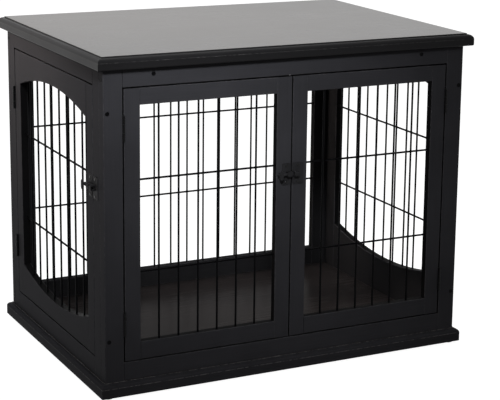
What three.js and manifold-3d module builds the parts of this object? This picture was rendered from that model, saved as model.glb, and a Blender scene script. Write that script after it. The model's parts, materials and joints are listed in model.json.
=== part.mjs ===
/*
 * Dog crate end table: a painted wooden crate with a moulded table top.
 *
 * Millimetres, +Z up. The origin is on the floor, under the middle of the table.
 * +X runs from the left of the front to its right, and +Y runs to the back.
 *
 * A moulded base board carries four frames of posts and rails. The front frame holds a pair of
 * doors and the left frame holds a wide door. The right and the rear frames are closed by wire
 * grilles. Every door turns on two butt hinges and has a sliding bolt at its free edge.
 */

import * as THREE from 'three';
import { mergeVertices } from 'three/addons/utils/BufferGeometryUtils.js';
import Module from 'manifold-3d';

const wasm = await Module();
wasm.setup();

// ---------------------------------------------------------------- driving dimensions

// doors
const FRONT_DOOR_WIDTH = 349.25;
const SIDE_DOOR_WIDTH = 450.85;
const DOOR_HEIGHT = 527.05;
const DOOR_THICKNESS = 16;
const DOOR_GAP = 2.5;
const DOOR_STILE = 32;
const FRONT_DOOR_TOP_RAIL = 32;
const FRONT_DOOR_BOTTOM_RAIL = 35;
const SIDE_DOOR_RAIL_END = 68;

// frames round the doors and at the back
const FRONT_POST_WIDTH = 38;
const FRONT_FRAME_THICKNESS = 22;
const SIDE_FRAME_THICKNESS = 16;
const REAR_FRAME_THICKNESS = 16;
const SIDE_FRONT_POST = 32;
const SIDE_REAR_POST = 27.55;
const SIDE_PANEL_STILE = 45;
const REAR_STILE = 50;
const REAR_RAIL = 42;
const FRAME_BOTTOM_RAIL = 36;
const FRAME_TOP_RAIL = 35.35;
const ARCH_RISE = 29;

// top and base boards
const TOP_THICKNESS = 25;
const TOP_OVERHANG = 15.4;
const TOP_VERTICAL_FACE = 13.5;
const TOP_MOULD_WIDTH = 11;
const TOP_STEP = 2;
const TOP_ARRIS = 3;
const BASE_THICKNESS = 28;
const BASE_OVERHANG = 11;
const BASE_VERTICAL_FACE = 18;
const BASE_MOULD_WIDTH = 9;
const BASE_STEP = 1.5;
const BASE_ARRIS = 1;

// feet
const FOOT_HEIGHT = 4;
const FOOT_RADIUS = 11;
const FOOT_INSET = 18;
const FOOT_CHAMFER = 1;

// wire grilles
const WIRE_RADIUS = 2;
const WIRE_SEAT = 8;
const WIRE_CLEARANCE = 0.3;
const WIRE_WELD = 0.6;
const WIRE_SIDES = 8;
const FRONT_DOOR_WIRES = 6;
const SIDE_DOOR_WIRES = 8;
const SIDE_PANEL_WIRES = 9;
const REAR_WIRES = 16;
const LOWER_BAR_LEVEL = 241;
const UPPER_BAR_LEVEL = 421;

// butt hinges
const HINGE_LENGTH = 48;
const HINGE_LEAF_DEPTH = 14;
const HINGE_LEAF_THICKNESS = 1;
const HINGE_KNUCKLE_RADIUS = 2.5;
const HINGE_PIN_RADIUS = 1.2;
const HINGE_CLEARANCE = 0.3;
const HINGE_SIDES = 16;
const FRONT_HINGE_INSET = 74;
const SIDE_HINGE_INSET = 102;

// sliding bolts
const BOLT_LEVEL = 334;
const BOLT_RADIUS = 3.5;
const BOLT_CLEARANCE = 0.4;
const BOLT_LENGTH = 28;
const BOLT_SETBACK = 2;
const BOLT_CHAMFER = 0.8;
const BOLT_TAB_WIDTH = 8;
const BOLT_TAB_HEIGHT = 19;
const BOLT_TAB_THICKNESS = 3.5;
const BOLT_TAB_BACK = 26;
const BOLT_TAB_BEVEL = 0.5;
const BOLT_TAB_STEM_RADIUS = 1.8;
const BOLT_TAB_LIFT = 1;
const BOLT_SIDES = 16;
const LATCH_PLATE_THICKNESS = 1.2;
const LATCH_PLATE_HEIGHT = 44;
const GUIDE_PLATE_LENGTH = 19;
const KEEPER_PLATE_LENGTH = 24;
const LATCH_PLATE_CORNER = 3;
const LATCH_EDGE_MARGIN = 0.5;
const LATCH_STAPLE_LENGTH = 10;
const LATCH_STAPLE_MARGIN = 1;
const LATCH_STAPLE_WALL = 1.2;
const LATCH_STAPLE_CORNER = 2;

// joints between the wooden members, and a small depth that makes fused solids overlap
const JOINT_GAP = 0.2;
const TENON_LENGTH = 16;
const TENON_SHOULDER = 7;
const TENON_SHARE = 0.34;
const FUSE = 0.5;
const ARC_SEGMENTS = 14;
const MOULD_SEGMENTS = 7;

// ---------------------------------------------------------------- worked-out sizes

const BODY_WIDTH = 2 * FRONT_POST_WIDTH + 2 * FRONT_DOOR_WIDTH + 3 * DOOR_GAP;
const SIDE_FRAME_LENGTH = SIDE_FRONT_POST + SIDE_DOOR_WIDTH + 2 * DOOR_GAP + SIDE_REAR_POST;
const BODY_DEPTH = FRONT_FRAME_THICKNESS + SIDE_FRAME_LENGTH + REAR_FRAME_THICKNESS;
const FRAME_HEIGHT = FRAME_BOTTOM_RAIL + DOOR_HEIGHT + 2 * DOOR_GAP + FRAME_TOP_RAIL;
const FRAME_BOTTOM = FOOT_HEIGHT + BASE_THICKNESS;
const DOOR_BOTTOM = FRAME_BOTTOM + FRAME_BOTTOM_RAIL + DOOR_GAP;
const HINGE_AXIS_OFFSET = HINGE_KNUCKLE_RADIUS + HINGE_CLEARANCE;
const BAR_OFFSET = 2 * WIRE_RADIUS - WIRE_WELD;
const BOLT_HEIGHT = LATCH_PLATE_THICKNESS + BOLT_CLEARANCE + BOLT_RADIUS;

// ---------------------------------------------------------------- materials

function paint(color, roughness) {
	return new THREE.MeshStandardMaterial({ color, roughness, metalness: 0 });
}

function steel(color, roughness) {
	return new THREE.MeshStandardMaterial({ color, roughness, metalness: 0.7 });
}

const FRAME_PAINT = () => paint(0x1d1c1e, 0.5);
const TOP_PAINT = () => paint(0x232020, 0.4);
const BLACK_WIRE = () => steel(0x0d0d0e, 0.45);
const BLACK_HARDWARE = () => steel(0x121112, 0.4);
const GLIDE_PLASTIC = () => paint(0x101010, 0.7);

// ---------------------------------------------------------------- solids and meshes

function toSolid(geometry) {
	const bare = geometry.clone();
	bare.deleteAttribute('normal');
	bare.deleteAttribute('uv');
	const merged = mergeVertices(bare, 1e-4);
	return new wasm.Manifold(new wasm.Mesh({
		numProp: 3,
		vertProperties: merged.attributes.position.array,
		triVerts: new Uint32Array(merged.index.array),
	}));
}

function toGeometry(solid) {
	const mesh = solid.getMesh();
	const geometry = new THREE.BufferGeometry();
	geometry.setAttribute('position', new THREE.BufferAttribute(mesh.vertProperties, 3));
	geometry.setIndex(new THREE.BufferAttribute(mesh.triVerts, 1));
	geometry.computeVertexNormals();
	return geometry;
}

function joined(solids) {
	return solids.reduce((sum, solid) => sum.add(solid));
}

function named(name, geometry, material) {
	const mesh = new THREE.Mesh(geometry, material);
	mesh.name = name;
	return mesh;
}

/** A box from its low to its high corner. */
function block(low, high) {
	const size = high.map((value, i) => value - low[i]);
	const geometry = new THREE.BoxGeometry(...size);
	geometry.translate(...low.map((value, i) => value + size[i] / 2));
	return geometry;
}

/** A round bar between two points that differ along one axis. */
function roundBar(axis, centre, length, radius, sides) {
	const geometry = new THREE.CylinderGeometry(radius, radius, length, sides);
	if (axis === 'x') {
		geometry.rotateZ(Math.PI / 2);
	}
	if (axis === 'z') {
		geometry.rotateX(Math.PI / 2);
	}
	geometry.translate(...centre);
	return geometry;
}

/** An outline in x and z, made solid from y = 0 to y = thickness. */
function upright(shape, thickness) {
	const geometry = new THREE.ExtrudeGeometry(shape, {
		depth: thickness,
		bevelEnabled: false,
		curveSegments: ARC_SEGMENTS,
	});
	geometry.rotateX(Math.PI / 2);
	geometry.translate(0, thickness, 0);
	return geometry;
}

// ---------------------------------------------------------------- moulded boards

/** A rectangular board whose edge follows a profile of [inset from the edge, height] steps. */
function mouldedBoard(width, depth, profile) {
	const corners = [[-1, -1], [1, -1], [1, 1], [-1, 1]];
	const positions = [];
	const faces = [];
	for (const [inset, height] of profile) {
		for (const [sideX, sideY] of corners) {
			positions.push(sideX * (width / 2 - inset), sideY * (depth / 2 - inset), height);
		}
	}
	for (let ring = 0; ring < profile.length - 1; ring++) {
		for (let i = 0; i < 4; i++) {
			const a = 4 * ring + i;
			const b = 4 * ring + (i + 1) % 4;
			faces.push(a, b, b + 4, a, b + 4, a + 4);
		}
	}
	const last = 4 * (profile.length - 1);
	faces.push(0, 2, 1, 0, 3, 2);
	faces.push(last, last + 1, last + 2, last, last + 2, last + 3);
	const geometry = new THREE.BufferGeometry();
	geometry.setAttribute('position', new THREE.Float32BufferAttribute(positions, 3));
	geometry.setIndex(faces);
	geometry.computeVertexNormals();
	return geometry;
}

/** The edge from the underside up: a small arris, a flat face, a rounded mould and a step. */
function edgeProfile({ thickness, arris, flat, mould, step }) {
	const points = [];
	for (let i = 0; i <= MOULD_SEGMENTS; i++) {
		const turn = (i / MOULD_SEGMENTS) * Math.PI / 2;
		points.push([arris * (1 - Math.sin(turn)), arris * (1 - Math.cos(turn))]);
	}
	const rise = thickness - step - flat;
	for (let i = 0; i <= MOULD_SEGMENTS; i++) {
		const turn = (i / MOULD_SEGMENTS) * Math.PI / 2;
		points.push([mould * (1 - Math.cos(turn)), flat + rise * Math.sin(turn)]);
	}
	points.push([mould + step / 2, thickness]);
	return points;
}

function topBoard() {
	const profile = edgeProfile({
		thickness: TOP_THICKNESS,
		arris: TOP_ARRIS,
		flat: TOP_VERTICAL_FACE,
		mould: TOP_MOULD_WIDTH,
		step: TOP_STEP,
	});
	const geometry = mouldedBoard(BODY_WIDTH + 2 * TOP_OVERHANG, BODY_DEPTH + 2 * TOP_OVERHANG, profile);
	const board = named('top_board', geometry, TOP_PAINT());
	board.position.z = FRAME_BOTTOM + FRAME_HEIGHT;
	return board;
}

function baseBoard() {
	const profile = edgeProfile({
		thickness: BASE_THICKNESS,
		arris: BASE_ARRIS,
		flat: BASE_VERTICAL_FACE,
		mould: BASE_MOULD_WIDTH,
		step: BASE_STEP,
	});
	const geometry = mouldedBoard(BODY_WIDTH + 2 * BASE_OVERHANG, BODY_DEPTH + 2 * BASE_OVERHANG, profile);
	const board = named('base_board', geometry, FRAME_PAINT());
	board.position.z = FOOT_HEIGHT;
	return board;
}

function feet() {
	const outline = [
		new THREE.Vector2(0, 0),
		new THREE.Vector2(FOOT_RADIUS - FOOT_CHAMFER, 0),
		new THREE.Vector2(FOOT_RADIUS, FOOT_CHAMFER),
		new THREE.Vector2(FOOT_RADIUS, FOOT_HEIGHT),
		new THREE.Vector2(0, FOOT_HEIGHT),
	];
	const halfX = BODY_WIDTH / 2 + BASE_OVERHANG - FOOT_INSET;
	const halfY = BODY_DEPTH / 2 + BASE_OVERHANG - FOOT_INSET;
	const places = {
		foot_front_left: [-halfX, -halfY],
		foot_front_right: [halfX, -halfY],
		foot_rear_left: [-halfX, halfY],
		foot_rear_right: [halfX, halfY],
	};
	return Object.entries(places).map(([name, [x, y]]) => {
		const geometry = new THREE.LatheGeometry(outline, 24);
		geometry.rotateX(Math.PI / 2);
		const foot = named(name, geometry, GLIDE_PLASTIC());
		foot.position.set(x, y, 0);
		return foot;
	});
}

// ---------------------------------------------------------------- stile and rail frames

/** How far an arc of the given chord and rise lies from its chord at a distance along it. */
function arcRise(chord, rise, along) {
	if (rise === 0) {
		return 0;
	}
	const radius = (chord * chord / 4 + rise * rise) / (2 * rise);
	const fromMiddle = along - chord / 2;
	return Math.sqrt(radius * radius - fromMiddle * fromMiddle) - (radius - rise);
}

/** A rail's outline from x = 0 to its length: one long edge is straight, the other an arc. */
function railShape(length, straightEdge, arcEnd, rise, inward) {
	const shape = new THREE.Shape();
	shape.moveTo(0, straightEdge);
	shape.lineTo(0, arcEnd);
	if (rise === 0) {
		shape.lineTo(length, arcEnd);
	} else {
		const radius = (length * length / 4 + rise * rise) / (2 * rise);
		const half = Math.asin(length / 2 / radius);
		const centre = arcEnd + inward * (rise - radius);
		const middle = inward * Math.PI / 2;
		shape.absarc(length / 2, centre, radius, middle + inward * half, middle - inward * half, inward > 0);
	}
	shape.lineTo(length, straightEdge);
	shape.closePath();
	return shape;
}

/**
 * The wires of one panel as a list of [axis, centre, length]. The uprights stand in the middle
 * of the frame's thickness, and two cross bars are welded to their inner side.
 */
function grilleWires(panel) {
	const open = panel.width - panel.stileLeft - panel.stileRight;
	const middle = panel.thickness / 2;
	const wires = [];
	for (let i = 1; i <= panel.wires; i++) {
		const along = open * i / (panel.wires + 1);
		const bow = arcRise(open, panel.rise, along);
		const low = panel.railBottom - bow - WIRE_SEAT;
		const high = panel.height - panel.railTop + bow + WIRE_SEAT;
		wires.push(['z', [panel.stileLeft + along, middle, (low + high) / 2], high - low]);
	}
	for (const level of [LOWER_BAR_LEVEL, UPPER_BAR_LEVEL]) {
		const centre = [panel.stileLeft + open / 2, middle + BAR_OFFSET, level - panel.bottom];
		wires.push(['x', centre, open + 2 * WIRE_SEAT]);
	}
	return wires;
}

function wiresAsSolid(wires, clearance) {
	return joined(wires.map(([axis, centre, length]) => toSolid(
		roundBar(axis, centre, length + 2 * clearance, WIRE_RADIUS + clearance, WIRE_SIDES))));
}

/** The tenons at both ends of a rail between two heights, grown by a clearance to cut mortises. */
function railTenons(panel, [railLow, railHigh], clearance) {
	const cheek = panel.thickness * TENON_SHARE / 2 + clearance;
	const outer = panel.thickness / 2 - cheek;
	const inner = panel.thickness / 2 + cheek;
	const low = railLow + TENON_SHOULDER - clearance;
	const high = railHigh - TENON_SHOULDER + clearance;
	const reach = TENON_LENGTH + clearance;
	const root = JOINT_GAP + FUSE;
	const right = panel.width - panel.stileRight;
	return joined([
		block([panel.stileLeft - reach, outer, low], [panel.stileLeft + root, inner, high]),
		block([right - root, outer, low], [right + reach, inner, high]),
	].map(toSolid));
}

/**
 * A frame of two stiles and two rails in its own axes: x along it from the left as seen from
 * outside, y from its outer face inwards and z up from its lower edge. The rails are tenoned
 * into the stiles. With wires it also has a grille whose ends sit in holes in the wood.
 */
function framedPanel(panel) {
	const { name, width, height, thickness, stileLeft, stileRight, railTop, railBottom, rise } = panel;
	const railLength = width - stileLeft - stileRight - 2 * JOINT_GAP;
	const topSpan = [height - railTop, height];
	const bottomSpan = [0, railBottom];
	const leftStile = toSolid(block([0, 0, 0], [stileLeft, thickness, height]));
	const rightStile = toSolid(block([width - stileRight, 0, 0], [width, thickness, height]));
	const mortises = railTenons(panel, topSpan, JOINT_GAP).add(railTenons(panel, bottomSpan, JOINT_GAP));
	const topRail = upright(railShape(railLength, height, height - railTop, rise, 1), thickness);
	const bottomRail = upright(railShape(railLength, 0, railBottom, rise, -1), thickness);
	for (const rail of [topRail, bottomRail]) {
		rail.translate(stileLeft + JOINT_GAP, 0, 0);
	}
	const pieces = {
		[`${name}_${panel.leftWord}`]: leftStile.subtract(mortises),
		[`${name}_${panel.rightWord}`]: rightStile.subtract(mortises),
		[`${name}_top_rail`]: toSolid(topRail).add(railTenons(panel, topSpan, 0)),
		[`${name}_bottom_rail`]: toSolid(bottomRail).add(railTenons(panel, bottomSpan, 0)),
	};
	const group = new THREE.Group();
	const wires = panel.wires ? grilleWires(panel) : [];
	const holes = wires.length ? wiresAsSolid(wires, WIRE_CLEARANCE) : null;
	for (const [pieceName, solid] of Object.entries(pieces)) {
		const shaped = holes ? solid.subtract(holes) : solid;
		group.add(named(pieceName, toGeometry(shaped), FRAME_PAINT()));
	}
	if (holes) {
		group.add(named(`${name}_grille`, toGeometry(wiresAsSolid(wires, 0)), BLACK_WIRE()));
	}
	return group;
}

// ---------------------------------------------------------------- butt hinges

/** A round bar along the hinge's pin, from one height to another. */
function hingeBarrel(low, high, radius) {
	return toSolid(roundBar('z', [0, 0, (low + high) / 2], high - low, radius, HINGE_SIDES));
}

/**
 * A butt hinge about its own pin, with the frame on the -x side and the door on the +x side.
 * The frame leaf has the outer knuckles and carries the pin. The door leaf has the middle one.
 */
function buttHinge(name) {
	const half = HINGE_LENGTH / 2;
	const inner = HINGE_LENGTH / 6;
	const leafEnd = HINGE_AXIS_OFFSET + HINGE_LEAF_DEPTH;
	const outside = DOOR_GAP / 2;
	const inside = outside - HINGE_LEAF_THICKNESS;
	const room = HINGE_KNUCKLE_RADIUS + HINGE_CLEARANCE;
	const outerEnds = [[-half, -inner - HINGE_CLEARANCE / 2], [inner + HINGE_CLEARANCE / 2, half]];
	const middleEnds = [-inner + HINGE_CLEARANCE / 2, inner - HINGE_CLEARANCE / 2];

	const frameLeaf = toSolid(block([-outside, 0, -half], [-inside, leafEnd, half]))
		.subtract(hingeBarrel(middleEnds[0] - HINGE_CLEARANCE, middleEnds[1] + HINGE_CLEARANCE, room))
		.add(hingeBarrel(...outerEnds[0], HINGE_KNUCKLE_RADIUS))
		.add(hingeBarrel(...outerEnds[1], HINGE_KNUCKLE_RADIUS))
		.add(hingeBarrel(-half, half, HINGE_PIN_RADIUS));

	const doorLeaf = toSolid(block([inside, 0, -half], [outside, leafEnd, half]))
		.subtract(hingeBarrel(-half - FUSE, outerEnds[0][1] + HINGE_CLEARANCE, room))
		.subtract(hingeBarrel(outerEnds[1][0] - HINGE_CLEARANCE, half + FUSE, room))
		.add(hingeBarrel(...middleEnds, HINGE_KNUCKLE_RADIUS))
		.subtract(hingeBarrel(-half, half, HINGE_PIN_RADIUS + HINGE_CLEARANCE));

	const group = new THREE.Group();
	group.add(named(`${name}_frame_leaf`, toGeometry(frameLeaf), BLACK_HARDWARE()));
	group.add(named(`${name}_door_leaf`, toGeometry(doorLeaf), BLACK_HARDWARE()));
	return group;
}

/** Two hinges on one edge of a door, whose panel starts at x = 0. */
function doorHinges(name, doorWidth, inset, hungOnRight) {
	const group = new THREE.Group();
	const levels = { lower: inset, upper: DOOR_HEIGHT - inset };
	for (const [level, height] of Object.entries(levels)) {
		const hinge = buttHinge(`${name}_${level}_hinge`);
		const edge = hungOnRight ? doorWidth + DOOR_GAP / 2 : -DOOR_GAP / 2;
		hinge.position.set(edge, -HINGE_AXIS_OFFSET, height);
		hinge.rotation.y = hungOnRight ? Math.PI : 0;
		group.add(hinge);
	}
	return group;
}

// ---------------------------------------------------------------- sliding bolts

/** A flat plate with rounded corners against y = 0, from x = start to x = start + length. */
function latchPlate(start, length) {
	const corner = LATCH_PLATE_CORNER;
	const half = LATCH_PLATE_HEIGHT / 2;
	const end = start + length;
	const shape = new THREE.Shape();
	shape.moveTo(start + corner, -half);
	shape.lineTo(end - corner, -half);
	shape.absarc(end - corner, -half + corner, corner, -Math.PI / 2, 0, false);
	shape.lineTo(end, half - corner);
	shape.absarc(end - corner, half - corner, corner, 0, Math.PI / 2, false);
	shape.lineTo(start + corner, half);
	shape.absarc(start + corner, half - corner, corner, Math.PI / 2, Math.PI, false);
	shape.lineTo(start, -half + corner);
	shape.absarc(start + corner, -half + corner, corner, Math.PI, 1.5 * Math.PI, false);
	const geometry = new THREE.ExtrudeGeometry(shape, {
		depth: LATCH_PLATE_THICKNESS,
		bevelEnabled: false,
		curveSegments: 2,
	});
	geometry.rotateX(Math.PI / 2);
	return toSolid(geometry);
}

/** The housing that the bolt slides through: a strip bent square over it, open to the plate. */
function latchStaple(start) {
	const inner = BOLT_RADIUS + BOLT_CLEARANCE;
	const outer = inner + LATCH_STAPLE_WALL;
	const corner = LATCH_STAPLE_CORNER;
	const foot = LATCH_PLATE_THICKNESS - FUSE;
	const crown = BOLT_HEIGHT + outer;
	const shape = new THREE.Shape();
	shape.moveTo(-outer, foot);
	shape.lineTo(outer, foot);
	shape.absarc(outer - corner, crown - corner, corner, 0, Math.PI / 2, false);
	shape.absarc(-outer + corner, crown - corner, corner, Math.PI / 2, Math.PI, false);
	const strip = new THREE.ExtrudeGeometry(shape, {
		depth: LATCH_STAPLE_LENGTH,
		bevelEnabled: false,
		curveSegments: 4,
	});
	strip.rotateY(Math.PI / 2);
	strip.rotateX(Math.PI);
	strip.translate(start, 0, 0);
	const way = block(
		[start - FUSE, -BOLT_HEIGHT - inner, -inner],
		[start + LATCH_STAPLE_LENGTH + FUSE, -LATCH_PLATE_THICKNESS, inner],
	);
	return toSolid(strip).subtract(toSolid(way));
}

/** The bolt drawn back: a rod with a thumb tab on a short stem. */
function slidingBolt() {
	const outline = [
		new THREE.Vector2(0, 0),
		new THREE.Vector2(BOLT_RADIUS - BOLT_CHAMFER, 0),
		new THREE.Vector2(BOLT_RADIUS, BOLT_CHAMFER),
		new THREE.Vector2(BOLT_RADIUS, BOLT_LENGTH - BOLT_CHAMFER),
		new THREE.Vector2(BOLT_RADIUS - BOLT_CHAMFER, BOLT_LENGTH),
		new THREE.Vector2(0, BOLT_LENGTH),
	];
	const rod = new THREE.LatheGeometry(outline, BOLT_SIDES);
	rod.rotateZ(Math.PI / 2);
	rod.translate(-BOLT_SETBACK, -BOLT_HEIGHT, 0);

	const tabBack = BOLT_HEIGHT + BOLT_RADIUS + BOLT_TAB_LIFT;
	const stemLength = BOLT_RADIUS + BOLT_TAB_LIFT + FUSE;
	const stemCentre = [-BOLT_TAB_BACK, -BOLT_HEIGHT - stemLength / 2, 0];
	const stem = roundBar('y', stemCentre, stemLength, BOLT_TAB_STEM_RADIUS, BOLT_SIDES);

	const radius = BOLT_TAB_WIDTH / 2;
	const straight = BOLT_TAB_HEIGHT / 2 - radius;
	const shape = new THREE.Shape();
	shape.absarc(0, straight, radius, 0, Math.PI, false);
	shape.absarc(0, -straight, radius, Math.PI, 2 * Math.PI, false);
	const tab = new THREE.ExtrudeGeometry(shape, {
		depth: BOLT_TAB_THICKNESS - 2 * BOLT_TAB_BEVEL,
		bevelEnabled: true,
		bevelThickness: BOLT_TAB_BEVEL,
		bevelSize: BOLT_TAB_BEVEL,
		bevelOffset: -BOLT_TAB_BEVEL,
		bevelSegments: 1,
		curveSegments: 5,
	});
	tab.rotateX(Math.PI / 2);
	tab.translate(-BOLT_TAB_BACK, -tabBack - BOLT_TAB_BEVEL, 0);
	return joined([rod, stem, tab].map(toSolid));
}

/** The guide and bolt at a door's free edge, whose edge is at x = 0 and face at y = 0. */
function latchOnDoor(name) {
	const plate = latchPlate(-LATCH_EDGE_MARGIN - GUIDE_PLATE_LENGTH, GUIDE_PLATE_LENGTH);
	const guide = plate.add(latchStaple(-LATCH_STAPLE_MARGIN - LATCH_STAPLE_LENGTH));
	const group = new THREE.Group();
	group.add(named(`${name}_bolt_guide`, toGeometry(guide), BLACK_HARDWARE()));
	group.add(named(`${name}_bolt`, toGeometry(slidingBolt()), BLACK_HARDWARE()));
	return group;
}

/** The keeper across the gap from a door's free edge at x = 0. */
function latchKeeper(name) {
	const plate = latchPlate(DOOR_GAP + LATCH_EDGE_MARGIN, KEEPER_PLATE_LENGTH);
	const keeper = plate.add(latchStaple(DOOR_GAP + LATCH_STAPLE_MARGIN));
	return named(`${name}_keeper`, toGeometry(keeper), BLACK_HARDWARE());
}

// ---------------------------------------------------------------- panels of this table

const FLAT_FRAME = { rise: 0, wires: 0, height: FRAME_HEIGHT, bottom: FRAME_BOTTOM };

function frontFrame() {
	return framedPanel({
		...FLAT_FRAME,
		name: 'front',
		leftWord: 'left_post',
		rightWord: 'right_post',
		width: BODY_WIDTH,
		thickness: FRONT_FRAME_THICKNESS,
		stileLeft: FRONT_POST_WIDTH,
		stileRight: FRONT_POST_WIDTH,
		railTop: FRAME_TOP_RAIL,
		railBottom: FRAME_BOTTOM_RAIL,
	});
}

function leftFrame() {
	return framedPanel({
		...FLAT_FRAME,
		name: 'left_side',
		leftWord: 'rear_post',
		rightWord: 'front_post',
		width: SIDE_FRAME_LENGTH - 2 * JOINT_GAP,
		thickness: SIDE_FRAME_THICKNESS,
		stileLeft: SIDE_REAR_POST - JOINT_GAP,
		stileRight: SIDE_FRONT_POST - JOINT_GAP,
		railTop: FRAME_TOP_RAIL,
		railBottom: FRAME_BOTTOM_RAIL,
	});
}

function rightFrame() {
	return framedPanel({
		...FLAT_FRAME,
		name: 'right_side',
		leftWord: 'front_stile',
		rightWord: 'rear_stile',
		width: SIDE_FRAME_LENGTH - 2 * JOINT_GAP,
		thickness: SIDE_FRAME_THICKNESS,
		stileLeft: SIDE_PANEL_STILE,
		stileRight: SIDE_PANEL_STILE,
		railTop: FRAME_TOP_RAIL + DOOR_GAP + SIDE_DOOR_RAIL_END,
		railBottom: FRAME_BOTTOM_RAIL + DOOR_GAP + SIDE_DOOR_RAIL_END,
		rise: ARCH_RISE,
		wires: SIDE_PANEL_WIRES,
	});
}

function rearFrame() {
	return framedPanel({
		...FLAT_FRAME,
		name: 'rear',
		leftWord: 'left_stile',
		rightWord: 'right_stile',
		width: BODY_WIDTH,
		thickness: REAR_FRAME_THICKNESS,
		stileLeft: REAR_STILE,
		stileRight: REAR_STILE,
		railTop: REAR_RAIL,
		railBottom: REAR_RAIL,
		wires: REAR_WIRES,
	});
}

const DOOR = {
	height: DOOR_HEIGHT,
	thickness: DOOR_THICKNESS,
	bottom: DOOR_BOTTOM,
	stileLeft: DOOR_STILE,
	stileRight: DOOR_STILE,
};

function frontDoor(name, hungOnRight) {
	const door = framedPanel({
		...DOOR,
		name,
		leftWord: hungOnRight ? 'meeting_stile' : 'hinge_stile',
		rightWord: hungOnRight ? 'hinge_stile' : 'meeting_stile',
		width: FRONT_DOOR_WIDTH,
		railTop: FRONT_DOOR_TOP_RAIL,
		railBottom: FRONT_DOOR_BOTTOM_RAIL,
		rise: 0,
		wires: FRONT_DOOR_WIRES,
	});
	door.add(doorHinges(name, FRONT_DOOR_WIDTH, FRONT_HINGE_INSET, hungOnRight));
	return door;
}

function sideDoor() {
	const door = framedPanel({
		...DOOR,
		name: 'side_door',
		leftWord: 'hinge_stile',
		rightWord: 'meeting_stile',
		width: SIDE_DOOR_WIDTH,
		railTop: SIDE_DOOR_RAIL_END,
		railBottom: SIDE_DOOR_RAIL_END,
		rise: ARCH_RISE,
		wires: SIDE_DOOR_WIRES,
	});
	door.add(doorHinges('side_door', SIDE_DOOR_WIDTH, SIDE_HINGE_INSET, false));
	return door;
}

// ---------------------------------------------------------------- assembly

function crateEndTable() {
	const table = new THREE.Group();
	table.add(topBoard(), baseBoard(), ...feet());

	const left = -BODY_WIDTH / 2;
	const front = -BODY_DEPTH / 2;
	const sideFront = front + FRONT_FRAME_THICKNESS;
	const sideRear = sideFront + SIDE_FRAME_LENGTH;

	const frontSide = new THREE.Group();
	frontSide.position.set(left, front, FRAME_BOTTOM);
	frontSide.add(frontFrame());
	table.add(frontSide);

	const leftSide = new THREE.Group();
	leftSide.position.set(left, sideRear - JOINT_GAP, FRAME_BOTTOM);
	leftSide.rotation.z = -Math.PI / 2;
	leftSide.add(leftFrame());
	table.add(leftSide);

	const rightSide = new THREE.Group();
	rightSide.position.set(-left, sideFront + JOINT_GAP, FRAME_BOTTOM);
	rightSide.rotation.z = Math.PI / 2;
	rightSide.add(rightFrame());
	table.add(rightSide);

	const rearSide = new THREE.Group();
	rearSide.position.set(-left, -front, FRAME_BOTTOM);
	rearSide.rotation.z = Math.PI;
	rearSide.add(rearFrame());
	table.add(rearSide);

	const leftDoorStart = left + FRONT_POST_WIDTH + DOOR_GAP;
	const leftDoor = frontDoor('front_left_door', false);
	leftDoor.position.set(leftDoorStart, front, DOOR_BOTTOM);
	const frontLatch = latchOnDoor('front_left_door');
	frontLatch.position.set(FRONT_DOOR_WIDTH, 0, BOLT_LEVEL);
	leftDoor.add(frontLatch);
	table.add(leftDoor);

	const rightDoor = frontDoor('front_right_door', true);
	rightDoor.position.set(leftDoorStart + FRONT_DOOR_WIDTH + DOOR_GAP, front, DOOR_BOTTOM);
	const frontKeeper = latchKeeper('front_right_door');
	frontKeeper.position.set(-DOOR_GAP, 0, BOLT_LEVEL);
	rightDoor.add(frontKeeper);
	table.add(rightDoor);

	const leftDoorway = new THREE.Group();
	leftDoorway.position.set(left, sideRear - SIDE_REAR_POST - DOOR_GAP, DOOR_BOTTOM);
	leftDoorway.rotation.z = -Math.PI / 2;
	const sideLatch = latchOnDoor('side_door');
	sideLatch.position.set(SIDE_DOOR_WIDTH, 0, BOLT_LEVEL);
	const sideKeeper = latchKeeper('left_side');
	sideKeeper.position.set(SIDE_DOOR_WIDTH, 0, BOLT_LEVEL);
	leftDoorway.add(sideDoor(), sideLatch, sideKeeper);
	table.add(leftDoorway);

	return table;
}

export default crateEndTable();
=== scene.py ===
"""A painted wooden dog crate with a moulded table top, wire grilles and three hinged doors."""

import json
import math

import bmesh
import bpy
from mathutils import Matrix, Vector

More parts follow.
